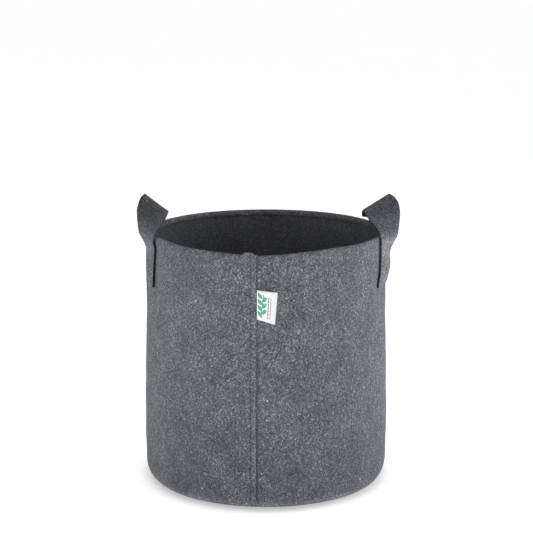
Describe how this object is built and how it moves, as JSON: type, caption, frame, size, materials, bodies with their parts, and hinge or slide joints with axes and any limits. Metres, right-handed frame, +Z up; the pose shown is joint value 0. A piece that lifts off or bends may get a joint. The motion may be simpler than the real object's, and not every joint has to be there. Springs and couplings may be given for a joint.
{
  "type": "fabric grow bag",
  "caption": "Round felt plant bag with a hemmed rim, a sewn-in flat base, a front side seam with a folded tag, and strap handles that fold in and out.",
  "frame": {"origin": "centre of the underside, on the ground", "axes": "+Z up, -Y towards the side seam at the front, +X towards the right-hand handle"},
  "size_m": [0.3108, 0.2967, 0.3507],
  "materials": {
    "grey_felt": "needle-punched grey heather felt, charcoal inside",
    "strap_felt": "the same felt cut into straps, nearly black at the cut edges",
    "sewing_thread": "dark grey polyester thread",
    "label_satin": "white woven satin tag"
  },
  "bodies": {
    "bag": {"wall_panel": "grey_felt", "base_panel": "grey_felt", "side_seam_thread": "sewing_thread", "hem_thread": "sewing_thread", "base_seam_thread": "sewing_thread", "left_handle_front_stitches": "sewing_thread", "left_handle_rear_stitches": "sewing_thread", "right_handle_front_stitches": "sewing_thread", "right_handle_rear_stitches": "sewing_thread", "left_handle_front_end": "strap_felt", "left_handle_rear_end": "strap_felt", "right_handle_front_end": "strap_felt", "right_handle_rear_end": "strap_felt"},
    "left_handle": {"left_handle_loop": "strap_felt"},
    "right_handle": {"right_handle_loop": "strap_felt"},
    "label": {"label": "label_satin"}
  },
  "joints": [
    {"name": "left_handle_fold", "type": "hinge", "parent": "bag", "child": "left_handle", "pos_m": [-0.1391, 0, 0.312], "axis": [0, -1, 0], "range_deg": [-60, 60]},
    {"name": "right_handle_fold", "type": "hinge", "parent": "bag", "child": "right_handle", "pos_m": [0.1391, 0, 0.312], "axis": [0, 1, 0], "range_deg": [-60, 60]},
    {"name": "label_swing", "type": "hinge", "parent": "bag", "child": "label", "pos_m": [-0.01515, -0.14592, 0.263], "axis": [0, 0, -1], "range_deg": [0, 120]}
  ]
}
